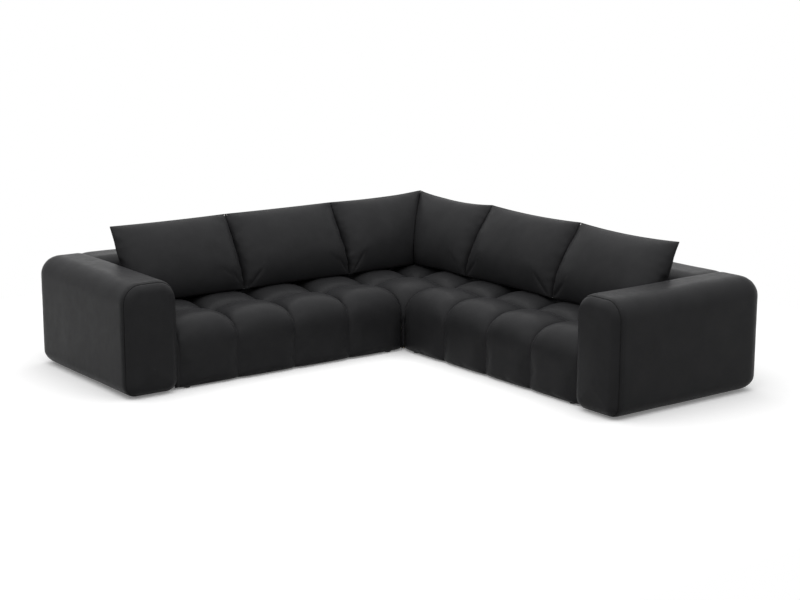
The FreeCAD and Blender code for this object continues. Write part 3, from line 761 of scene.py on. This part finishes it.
def wall_shape(points, faces, seed, ends):
    """points are (v, u, z): a fuller rear and top, with slow waves."""
    v, u = points[:, :2].T
    out = normals_of(points, faces)
    free = ease((v - SEAT_DEPTH - 0.02) / 0.08)
    middle = np.ones(len(points))
    for end in ends:
        middle = np.minimum(middle, ease(np.abs(u - end) / 0.16))
    lift = 0.004 * np.maximum(out[:, 2], 0) * (1 - middle)
    bulge = 0.006 * middle * np.maximum(out[:, 0], 0.35 * np.maximum(out[:, 2], 0)) + lift
    slow = 0.0018 * waves(points, 0.28, seed) + 0.0006 * waves(points, 0.1, seed + 4)
    move = SKIN + (bulge + np.maximum(slow, LEAST_WAVE)) * free
    move = np.where(np.abs(out[:, 1]) > 0.7, 0.0, move)
    return points + out * move[:, None]


def arm_shoulder(reach, v):
    """Height of an arm's inner top roll at a distance out from its inner side."""
    radius = np.sqrt(np.maximum(ROLL ** 2 - np.maximum(v - DEPTH + ROLL, 0.0) ** 2, 0.0))
    reach = np.minimum(reach, radius)
    return WALL_TOP - ROLL + np.sqrt(2 * radius * reach - reach ** 2)


def tucked_ring(reach):
    """The backrest's section that far over the arm: only what stands above its roll."""
    section = wall_ring(0.0)
    floor = arm_shoulder(reach, section[:, 0]) - TUCK
    front_floor = arm_shoulder(reach, 0.0) - TUCK
    flank = math.sqrt(max(ROLL ** 2 - (front_floor - WALL_TOP + ROLL) ** 2, 0.0))
    sink = SINK * float(ease((reach - 0.04) / 0.068))
    low = section[:, 1] < floor
    section[low, 0] = np.maximum(section[low, 0], SEAT_DEPTH + GAP + ROLL - flank)
    section[low, 1] = floor[low]
    section[:, 0] = np.minimum(section[:, 0], DEPTH - sink)
    section[:, 1] -= sink
    return section


def joint_steps():
    """Distances in from a joint and how far the section stands in there."""
    for angle in range(0, 91, 15):
        turn = math.radians(angle)
        yield JOINT_ROLL * (1 - math.cos(turn)), JOINT_ROLL * (1 - math.sin(turn))


def make_wing_back(wing):
    """A backrest whose outer end laps over the arm's roll, so the two tops run on."""
    start = GAP
    end = SEAT_LENGTH - GAP
    count = 100
    stations = [(start + distance, wall_ring(inset)) for distance, inset in joint_steps()]
    for k in range(1, count):
        place = start + JOINT_ROLL + (end - start - 2 * JOINT_ROLL) * k / count
        stations.append((place, wall_ring(0.0)))
    stations.append((end, wall_ring(0.0)))
    for reach in (0.002, 0.015, 0.03, 0.045, 0.06, 0.075, 0.09, 0.1, 0.108):
        stations.append((end + reach, tucked_ring(reach)))
    points, faces = sweep(end_cap(stations[0], 0.0)[::-1] + stations)
    faces += [tuple(reversed(face)) for face in bridge(0)]
    faces = face_outward(points, faces)
    shaped = wall_shape(points, faces, wing.seed + 10, (start, end))
    placed = wing.place(shaped[:, [1, 0, 2]])
    make_hide(wing.side + "_back_hide", wing.side + "_back_cover", placed, faces)


def corner_path(v, share, turned):
    """A point of the corner backrest's left half: along x, then round to the diagonal."""
    radius = max(OUTER_CORNER - (DEPTH - v), INNER_CORNER)
    angle = math.radians(45 * turned)
    x = GAP + (v - radius - GAP) * share + radius * math.sin(angle)
    return x, v - radius + radius * math.cos(angle)


def make_corner_back(side):
    straight = 60
    turn = 9
    length = 0.8
    first = JOINT_ROLL / length
    stations = [(distance / length, 0.0, inset) for distance, inset in joint_steps()]
    stations += [(first + (1 - first) * k / straight, 0.0, 0.0) for k in range(1, straight + 1)]
    stations += [(1.0, k / turn, 0.0) for k in range(1, turn + 1)]
    points = np.array([
        (*corner_path(v, share, turned), z)
        for share, turned, inset in stations
        for v, z in wall_ring(inset)
    ])
    faces = face_outward(points, grid_faces(len(stations), RING_COUNT, wrap=True))
    out = normals_of(points, faces)
    seed = 21 if side == "left" else 22
    free = ease((points[:, 1] - SEAT_DEPTH - 0.02) / 0.08)
    diagonal = (points[:, 1] - points[:, 0]) / math.sqrt(2)
    crease = -0.0018 * np.exp(-((diagonal / 0.004) ** 2))
    slow = 0.0016 * waves(points, 0.26, seed)
    bulge = 0.004 * np.abs(out[:, 1]) * ease(points[:, 0] / 0.15)
    move = SKIN + (bulge + np.maximum(slow, LEAST_WAVE)) * free
    fade = ease(diagonal / 0.02)
    points = points + out * (move * fade + crease)[:, None]
    points[:, 0] = np.minimum(points[:, 0], points[:, 1] - 0.0002)
    if side == "right":
        points = points[:, [1, 0, 2]]
    placed = points + np.array([CORNER, CORNER, 0.0])
    make_hide("corner_back_hide_" + side, "corner_back_cover_" + side, placed, faces)


# Seats

def puffed(share, power, roundness):
    """Fullness across a puff: none at its two seams, whole in the middle."""
    return (1 - np.abs(2 * share - 1) ** power) ** roundness


def spaced(count, tight=0.75):
    """Shares from 0 to 1 that crowd towards both ends."""
    line = np.linspace(0, 1, count + 1)
    return tight * (0.5 - 0.5 * np.cos(np.pi * line)) + (1 - tight) * line


def top_height(first, second):
    """Height of a puffed top from its fullness in two directions."""
    return CROSSING + SEAM_RISE * (first + second - first * second) + (
        CROWN - CROSSING - SEAM_RISE
    ) * first * second


def profile(top_share, face_share):
    """A wing's section from its rear wall over the top and down to its lip."""
    back = SEAT_DEPTH - GAP
    points = []
    seam = top_height(top_share, 0.0)
    for k in range(4):
        points.append((back, HEM + (seam - HEM) * k / 4))
    for share in spaced(26):
        fullness = puffed(share, TOP_POWER, TOP_ROUND)
        points.append((back - (back - ROW) * share, top_height(top_share, fullness)))
    front = DRAW_IN * (1 - face_share)
    bend = SEAM_BEND + (PUFF_BEND - SEAM_BEND) * top_share
    top = CHANNEL + (CROWN - CHANNEL) * top_share
    lip = front + bend
    for share in spaced(32)[1:17] * 2:
        rise = (1 - (1 - share) ** TOP_POWER) ** TOP_ROUND
        points.append((ROW + (lip - ROW) * share, seam + (top - seam) * rise))
    for k in range(1, 15):
        angle = math.radians(90 * k / 14)
        points.append((lip - bend * math.sin(angle), top - bend + bend * math.cos(angle)))
    knee = top - bend
    for k in range(1, 15):
        points.append((front, knee + (HEM + CURL - knee) * k / 14))
    for k in range(1, 7):
        angle = math.radians(90 * k / 6)
        points.append((front + CURL - CURL * math.cos(angle), HEM + CURL - CURL * math.sin(angle)))
    points.append((max(LIP, front + CURL + 0.002), HEM))
    return points


PROFILE_COUNT = len(profile(0.0, 0.0))


def seat_columns():
    """Where the sections of a wing's seat stand and how full each is."""
    sections = []
    shares = spaced(28)
    for index in range(COLUMNS):
        start = max(index * COLUMN, GAP)
        end = (index + 1) * COLUMN
        for share in shares[(1 if index else 0):]:
            full_top = puffed(share, TOP_POWER, TOP_ROUND)
            full_face = puffed(share, FACE_POWER, FACE_ROUND)
            sections.append((start + (end - start) * share, full_top, full_face))
    width = SEAT_LENGTH - GAP - COLUMNS * COLUMN
    for share in (0.08, 0.25, 0.5, 0.75, 0.92, 1.0):
        full = 0.10 * puffed(np.float64(share), 2.0, 0.5)
        sections.append((COLUMNS * COLUMN + width * share, full, full * 3))
    return sections


def seam_distances(points):
    """Distance of each point from the nearest seam between columns and between rows."""
    u, v, z = points.T
    column = np.abs((u / COLUMN + 0.5) % 1.0 - 0.5) * COLUMN
    row = np.where(z > CROSSING - 0.02, np.abs(v - ROW), 1.0)
    return column, row


def seat_shape(points, faces, seed):
    """Puckers that run away from the seams and slow waves of the hide."""
    u, v, z = points.T
    out = normals_of(points, faces)
    column, row = seam_distances(points)
    near = np.minimum(column, row)
    across_columns = np.column_stack((u * 0.25, v * 1.6, z * 1.6))
    across_rows = np.column_stack((u * 1.6, v * 0.25, z * 0.25))
    pucker = np.where(
        column < row,
        waves(across_columns, 0.05, seed),
        waves(across_rows, 0.05, seed + 1),
    )
    ramp = ease(near / 0.008) * np.exp(-near / 0.045)
    slow = 0.0035 * waves(points, 0.24, seed + 2) + 0.0012 * waves(points, 0.08, seed + 3)
    full = ease(near / 0.09)
    inside = np.where(z < HEM + CURL, 0.0, 1.0)
    move = 0.0028 * pucker * ramp + slow * full - 0.0005
    return points + out * (move * inside)[:, None]


def add_flap(points, faces, rim, shift):
    """Turn an edge of a skin inward, as an upholsterer does, so that no gap shows."""
    first = len(points)
    inner = points[rim] + np.array(shift)
    inner[:, 2] = np.maximum(inner[:, 2], HEM)
    flap = [(a, b, first + k + 1, first + k) for k, (a, b) in enumerate(zip(rim, rim[1:]))]
    return np.vstack((points, inner)), faces + flap


def make_wing_seat(wing):
    sections = seat_columns()
    points = np.array([(u, v, z) for u, *full in sections for v, z in profile(*full)])
    faces = face_outward(points, grid_faces(len(sections), PROFILE_COUNT))
    u, v, z = points.T
    near = np.minimum(*seam_distances(points))
    rims = (z < HEM + 0.002) | (v > SEAT_DEPTH - 0.002) | (u > COLUMNS * COLUMN - 0.002)
    pins = np.flatnonzero((near < 0.0015) | rims)
    points = inflate(points, faces, pins, np.exp(-near / 0.05), **SEAT_CLOTH)
    points = seat_shape(points, faces, wing.seed + 30)
    points[:, 2] = np.minimum(points[:, 2], CROWN + 0.0005)
    points[:, 1] = np.minimum(points[:, 1], SEAT_DEPTH - GAP)
    points[:, 0] = np.clip(points[:, 0], GAP, SEAT_LENGTH - GAP)
    first = list(range(PROFILE_COUNT))
    last = [len(sections) * PROFILE_COUNT - 1 - index for index in first]
    for rim in (first, last):
        points, faces = add_flap(points, faces, rim, (0.0, 0.012, -0.012))
    placed = wing.place(points)
    make_hide(wing.side + "_seat_hide", wing.side + "_seat_cover", placed, faces)


def corner_lines():
    """Grid lines of the corner seat: even by the inner corner, crowded at the seams."""
    lines = [0.0, 0.004, 0.008, 0.012, 0.016, 0.021, 0.027, 0.035]
    start = lines[-1]
    rest = spaced(52, 0.8)[26:]
    shares = (rest - 0.5) * 2
    lines += [start + (ROW - start) * share for share in shares[1:]]
    lines += [ROW + (SEAT_DEPTH - GAP - ROW) * share for share in spaced(26)[1:]]
    return np.array(lines)


def corner_drop(x, y):
    """Height of the roll down to the inner corner: a puff between the wings' seams."""
    reach = x + y
    seam_height = CROSSING + SEAM_RISE
    edge_share = np.clip(1 - (reach - DRAW_IN) / SEAM_BEND, 0.0, 1.0)
    edge = seam_height - (seam_height - TIP_HEIGHT) * (1 - np.sqrt(1 - edge_share ** 2))
    puff_share = np.clip(1 - (reach - DRAW_IN) / TIP_REACH, 0.0, 1.0)
    puff = CROWN - (CROWN - TIP_HEIGHT) * (1 - np.sqrt(1 - puff_share ** 2))
    across = puffed(x / np.maximum(reach, DRAW_IN / 2), 2.0, 0.7)
    clear = 0.03 * ease((reach - 0.08) / 0.15)
    return edge + (puff - edge) * across + clear


def corner_top():
    """Points and faces of the corner seat's top, cut off across its inner corner."""
    lines = corner_lines()
    x, y = (axis.ravel() for axis in np.meshgrid(lines, lines, indexing="ij"))

    def fullness(place):
        share = np.where(place < ROW, place / ROW, (place - ROW) / (SEAT_DEPTH - GAP - ROW))
        return puffed(np.clip(share, 0, 1), TOP_POWER, TOP_ROUND)

    z = top_height(fullness(x), fullness(y))
    drop = corner_drop(x, y)
    z = -TIP_SOFT * np.log(np.exp(-z / TIP_SOFT) + np.exp(-drop / TIP_SOFT))
    cut = x + y < DRAW_IN - SAME
    faces = []
    for face in grid_faces(len(lines), len(lines)):
        kept = [index for index in face if not cut[index]]
        if len(kept) > 2:
            faces.append(tuple(kept))
    return np.column_stack((x, y, z)), faces


def add_tip(points, faces):
    """Close the inner corner with a narrow strip from the cut down to the lip."""
    reach = points[:, 0] + points[:, 1]
    edge = np.flatnonzero(np.abs(reach - DRAW_IN) < SAME).tolist()
    edge.sort(key=lambda index: points[index, 0])
    rows = [edge]
    strip = []
    for k in range(1, TIP_ROWS + 1):
        rows.append([len(points) + len(strip) + i for i in range(len(edge))])
        for index in edge:
            place = points[index].copy()
            place[2] = place[2] + (HEM - place[2]) * k / TIP_ROWS
            curl = max(0.0, 1 - (place[2] - FOOT) / CURL)
            pocket = 4 * place[0] * place[1] / DRAW_IN ** 2 * ease(np.float64(k / 3))
            place[:2] += 0.5 * CURL * curl ** 2 + 0.010 * pocket
            strip.append(place)
    for upper, lower in zip(rows, rows[1:]):
        for k in range(len(edge) - 1):
            faces.append((upper[k], lower[k], lower[k + 1], upper[k + 1]))
    return np.vstack((points, strip)), faces


def drop_loose(points, faces):
    """Leave out the points that no face uses."""
    used = sorted({index for face in faces for index in face})
    renumber = {index: k for k, index in enumerate(used)}
    return points[used], [tuple(renumber[index] for index in face) for face in faces]


def make_corner_seat():
    points, faces = drop_loose(*add_tip(*corner_top()))
    faces = face_outward(points, faces)
    out = normals_of(points, faces)
    seam = np.minimum(np.abs(points[:, 0] - ROW), np.abs(points[:, 1] - ROW))
    near = np.minimum(seam, np.minimum(points[:, 0], points[:, 1]))
    slow = 0.003 * waves(points, 0.2, 41) * ease(near / 0.08)
    pucker = 0.0022 * waves(points * np.array([1.3, 1.3, 0.4]), 0.05, 42)
    pucker = pucker * ease(near / 0.01) * np.exp(-near / 0.04)
    points = points + out * (slow + pucker)[:, None]
    points[:, 2] = np.minimum(points[:, 2], CROWN + 0.0005)
    points[:, :2] = np.clip(points[:, :2], GAP, SEAT_DEPTH - GAP)
    for axis in (0, 1):
        on_rim = (points[:, axis] < 0.0005) & (points[:, 2] > TIP_HEIGHT - 0.003)
        rim = np.flatnonzero(on_rim).tolist()
        rim.sort(key=lambda k: points[k, 1 - axis])
        points, faces = add_flap(points, faces, rim, (0.0, 0.0, -0.05))
    placed = points + np.array([CORNER, CORNER, 0.0])
    make_hide("corner_seat_hide", "corner_seat_cover", placed, faces)


# Loose cushions

PANEL_COLUMNS = 64
PANEL_ROWS = 42


def cushion_corners(kind, side):
    """Seam corners (u, up the face), anticlockwise from the low one at the inner end."""
    half = CUSHION_HEIGHT / 2
    outer_edge = SEAT_LENGTH - CUSHION_WIDTH + SEAM_SHIFT[side][0]
    middle_edge = SEAT_LENGTH - 2 * CUSHION_WIDTH + SEAM_SHIFT[side][1]
    if kind == "corner":
        slope = math.sin(CUSHION_LEAN)
        start = CUSHION_SPACE + MITRE_SHIFT[side] / 2 - cushion_origin()[0]
        low = (start + half * slope, -half)
        high = (start - (half + MITRE_EAR) * slope, half + MITRE_EAR)
    else:
        edge = outer_edge if kind == "outer" else middle_edge
        low = (edge + CUSHION_SPACE - SEAM_SLANT[side], -half)
        high = (edge + CUSHION_SPACE, half)
    if kind == "outer":
        return [low, (SEAT_LENGTH - ARM_SPACE, -half), (SEAT_LENGTH + EAR, half), high]
    end = (outer_edge if kind == "middle" else middle_edge) - CUSHION_SPACE
    return [low, (end - SEAM_SLANT[side], -half), (end, half), high]


def cushion_origin():
    """The (v, z) of the middle of a cushion's seam plane."""
    v = SEAT_DEPTH + CUSHION_PRESS - CUSHION_HALF * math.cos(CUSHION_LEAN)
    z = CUSHION_TOP - CUSHION_HEIGHT / 2 * math.cos(CUSHION_LEAN)
    return v, z


def outline(corners, s, t, end_draw, sag):
    """A point of a panel: between four corners, with its sides drawn in."""
    (au, ab), (bu, bb), (cu, cb), (du, db) = corners
    u = (1 - s) * (1 - t) * au + s * (1 - t) * bu + s * t * cu + (1 - s) * t * du
    b = (1 - s) * (1 - t) * ab + s * (1 - t) * bb + s * t * cb + (1 - s) * t * db
    level = 4 * s * (1 - s) * CUSHION_DRAW_IN
    upright = 4 * t * (1 - t) * CUSHION_DRAW_IN
    b = b + (1 - t) * level * 0.3 - t * level * sag
    u = u - s * upright * end_draw
    return u, b


def cushion_points(kind, side):
    """Points (u, up, out) and faces of a cushion's two panels, and the seam they share."""
    s = spaced(PANEL_COLUMNS, 0.55)
    t = spaced(PANEL_ROWS, 0.55)
    grid_s, grid_t = np.meshgrid(s, t, indexing="ij")
    end_draw = OUTER_DRAW if kind == "outer" else 0.0
    corners = cushion_corners(kind, side)
    u, b = outline(corners, grid_s, grid_t, end_draw, TOP_SAG[side][kind])
    a = 2 * grid_s - 1
    c = 2 * grid_t - 1
    c = c + 0.14 * (1 - c ** 2)
    low = ease(1.15 - grid_t)
    side_full = (1 - np.abs(a) ** (3.4 + 3.2 * low)) ** (0.60 - 0.16 * low)
    full = side_full * (1 - np.abs(c) ** 2.4) ** 0.60
    depth = CUSHION_START * CUSHION_HALF * full.ravel()
    front = np.column_stack((u.ravel(), b.ravel(), depth))
    rear = np.column_stack((u.ravel(), b.ravel(), -depth))
    index = np.arange(u.size).reshape(u.shape)
    inner = index[1:-1, 1:-1].ravel()
    twin = index.ravel().copy()
    twin[inner] = u.size + np.arange(len(inner))
    points = np.vstack((front, rear[inner]))
    faces = grid_faces(*u.shape)
    faces += [tuple(twin[list(face)].tolist()[::-1]) for face in faces]
    loop = np.concatenate((index[:, 0], index[-1, 1:], index[-2::-1, -1], index[0, -2:0:-1]))
    return points, faces, loop.tolist()


def cushion_to_wing(points):
    """From (u, up, out) to the wing's (u, v, z)."""
    v, z = cushion_origin()
    u, up, out = points.T
    slope, rise = math.sin(CUSHION_LEAN), math.cos(CUSHION_LEAN)
    return np.column_stack((u, v + up * slope - out * rise, z + up * rise + out * slope))


def settle(points, kind, side):
    """Press a cushion flat where it rests: on the seat, the back and its neighbours."""
    points = points.copy()
    points[:, 2] = np.maximum(points[:, 2], CROWN + REST)
    centre = np.array([SEAT_DEPTH + ROLL, WALL_TOP - ROLL])
    low = points[:, 2] < centre[1]
    points[low, 1] = np.minimum(points[low, 1], SEAT_DEPTH - REST)
    away = points[:, 1:] - centre
    reach = np.linalg.norm(away, axis=1)
    limit = ROLL + ROLL_SPACE
    inside = ~low & (reach < limit) & (away[:, 0] < 0)
    scale = limit / np.maximum(reach[inside], 0.001)
    points[inside, 1:] = centre + away[inside] * scale[:, None]
    if kind == "corner":
        over = MITRE_SHIFT[side] - points[:, 0] - points[:, 1] + REST
        move = np.maximum(over, 0) / 2
        points[:, 0] += move
        points[:, 1] += move
    if kind == "outer":
        over_arm = (points[:, 2] < WALL_TOP + ARM_TOP_SPACE) & (points[:, 0] > ARM_START - REST)
        points[over_arm, 0] = ARM_START - REST
    return points


def corner_fold(points, out):
    """The slanting fold low on the corner cushion's face: a ridge with a hollow beside it."""
    up = points[:, 2] - CROWN
    lean = points[:, 0] + 0.55 * up - 0.085
    reach = ease((0.15 - up) / 0.06) * (out[:, 1] < 0.2)
    ridge = 0.011 * np.exp(-((lean / 0.016) ** 2))
    hollow = 0.012 * np.exp(-(((lean - 0.036) / 0.018) ** 2))
    return reach * (ridge - hollow)


def cushion_folds(points, seed):
    """Slow waves, and gathers that run in from the side seams."""
    u, v, z = points.T
    slow = 0.004 * waves(points, 0.23, seed) + 0.0010 * waves(points, 0.07, seed + 1)
    ends = np.minimum(u - u.min(), u.max() - u)
    across = np.column_stack((u * 0.3, v, z))
    gathers = 0.008 * waves(across, 0.034, seed + 2)
    gathers = gathers * ease(ends / 0.012) * np.exp(-ends / 0.045)
    return slow + gathers


def make_cushion(wing, kind, seed):
    name = wing.side + "_" + kind + "_cushion"
    points, faces, seam = cushion_points(kind, wing.side)
    faces = face_outward(points, faces)
    u = points[:, 0]
    ends = np.minimum(u - u.min(), u.max() - u)
    gather = np.exp(-ends / 0.05) * (0.6 + 0.4 * np.abs(waves(points, 0.03, seed)))
    blown = inflate(points, faces, seam, np.clip(gather, 0, 1), **CUSHION_CLOTH)
    placed = cushion_to_wing(blown)
    if kind == "corner":
        near = 1 - ease((placed[:, 0] + placed[:, 1]) / MITRE_FADE)
        placed[:, 1] += MITRE_SHIFT[wing.side] / 2 * near
    faces = face_outward(placed, faces)
    out = normals_of(placed, faces)
    move = cushion_folds(placed, seed)
    if kind == "corner" and wing.side == "left":
        move = move + corner_fold(placed, out)
    move[seam] = 0.0
    placed = settle(placed + out * move[:, None], kind, wing.side)
    world = wing.place(placed)
    hide = make_piece(name + "_hide", world, faces, HIDE, subdivide=1, seam=seam)
    inner = wing.place(settle(placed - out * WADDING_INSET, kind, wing.side))
    wadding = make_piece(name + "_wadding", inner, faces, WADDING)
    # The seam cord is coloured darker than the hide: painted seam shade.
    cord = make_piece(name + "_seam", *tube(world[seam], SEAM_CORD), SEAM_SHADED_WELT)
    stand_in(hide, name, name + "_cover")
    stand_in(wadding, name, name + "_fill")
    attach(cord, name)


# Room, light and camera

def make_floor():
    corners = np.array([(-1, -1, 0), (1, -1, 0), (1, 1, 0), (-1, 1, 0)])
    mesh = make_mesh("floor", FLOOR_SIZE * corners, [(0, 1, 2, 3)])
    floor = add_object("floor", mesh)
    material, nodes = new_material("studio_floor")
    nodes.tree.nodes.remove(nodes.shader)
    seen = seen_directly(nodes)
    diffuse = nodes.add("ShaderNodeBsdfDiffuse")
    nodes.join(nodes.ramp(seen, [FLOOR_SHADE] * 3, [1.0] * 3, 0.0, 1.0), diffuse.inputs["Color"])
    glow = nodes.add("ShaderNodeEmission", Color=(1, 1, 1, 1))
    nodes.join(nodes.span(seen, 0.0, FLOOR_GLOW, 0.0, 1.0), glow.inputs["Strength"])
    both = nodes.add("ShaderNodeAddShader")
    nodes.join(diffuse.outputs["BSDF"], both.inputs[0])
    nodes.join(glow.outputs["Emission"], both.inputs[1])
    nodes.join(both.outputs["Shader"], nodes.tree.nodes["Material Output"].inputs["Surface"])
    mesh.materials.append(material)


def seen_directly(nodes):
    """1 for what the camera sees, also in a mirror or through glass, and 0 for the rest."""
    path = nodes.add("ShaderNodeLightPath")
    seen = path.outputs["Is Camera Ray"]
    for ray in ("Is Glossy Ray", "Is Transmission Ray"):
        either = nodes.add("ShaderNodeMath")
        either.operation = "MAXIMUM"
        nodes.join(seen, either.inputs[0])
        nodes.join(path.outputs[ray], either.inputs[1])
        seen = either.outputs["Value"]
    return seen


def make_world():
    world = bpy.data.worlds.new("studio")
    bpy.context.scene.world = world
    world.use_nodes = True
    nodes = Nodes(world.node_tree)
    background = world.node_tree.nodes["Background"]
    background.inputs["Color"].default_value = (1, 1, 1, 1)
    strength = nodes.span(seen_directly(nodes), DOME, 1.0, 0.0, 1.0)
    nodes.join(strength, background.inputs["Strength"])


def make_lamp():
    """One large soft lamp overhead, facing down."""
    light = bpy.data.lights.new("overhead", "AREA")
    light.shape = "RECTANGLE"
    light.size = LAMP_SIZE
    light.size_y = LAMP_SIZE
    light.energy = LAMP_POWER
    add_object("overhead", light).location = LAMP_PLACE


def make_camera():
    camera = bpy.data.cameras.new("photo_camera")
    camera.sensor_width = SENSOR
    camera.lens = VIEW_FOCAL / PHOTO_WIDTH * SENSOR
    camera.shift_x = (PHOTO_WIDTH / 2 - VIEW_CENTRE[0]) / PHOTO_WIDTH
    camera.shift_y = (VIEW_CENTRE[1] - PHOTO_HEIGHT / 2) / PHOTO_WIDTH
    camera.clip_end = 200
    holder = add_object("photo_camera", camera)
    holder.location = VIEW_PLACE + Vector((CORNER, CORNER, VIEW_LIFT))
    holder.rotation_euler = (math.pi / 2 - VIEW_DROP, 0, -VIEW_TURN)
    bpy.context.scene.camera = holder


dress_frame()
for wing in WINGS:
    make_arm(wing)
    make_wing_back(wing)
    make_wing_seat(wing)
    make_corner_back(wing.side)
    for number, kind in enumerate(("outer", "middle", "corner")):
        make_cushion(wing, kind, 50 + 10 * wing.seed + number)
make_corner_seat()
make_floor()
make_world()
make_lamp()
make_camera()
bpy.context.scene.view_settings.view_transform = "Standard"
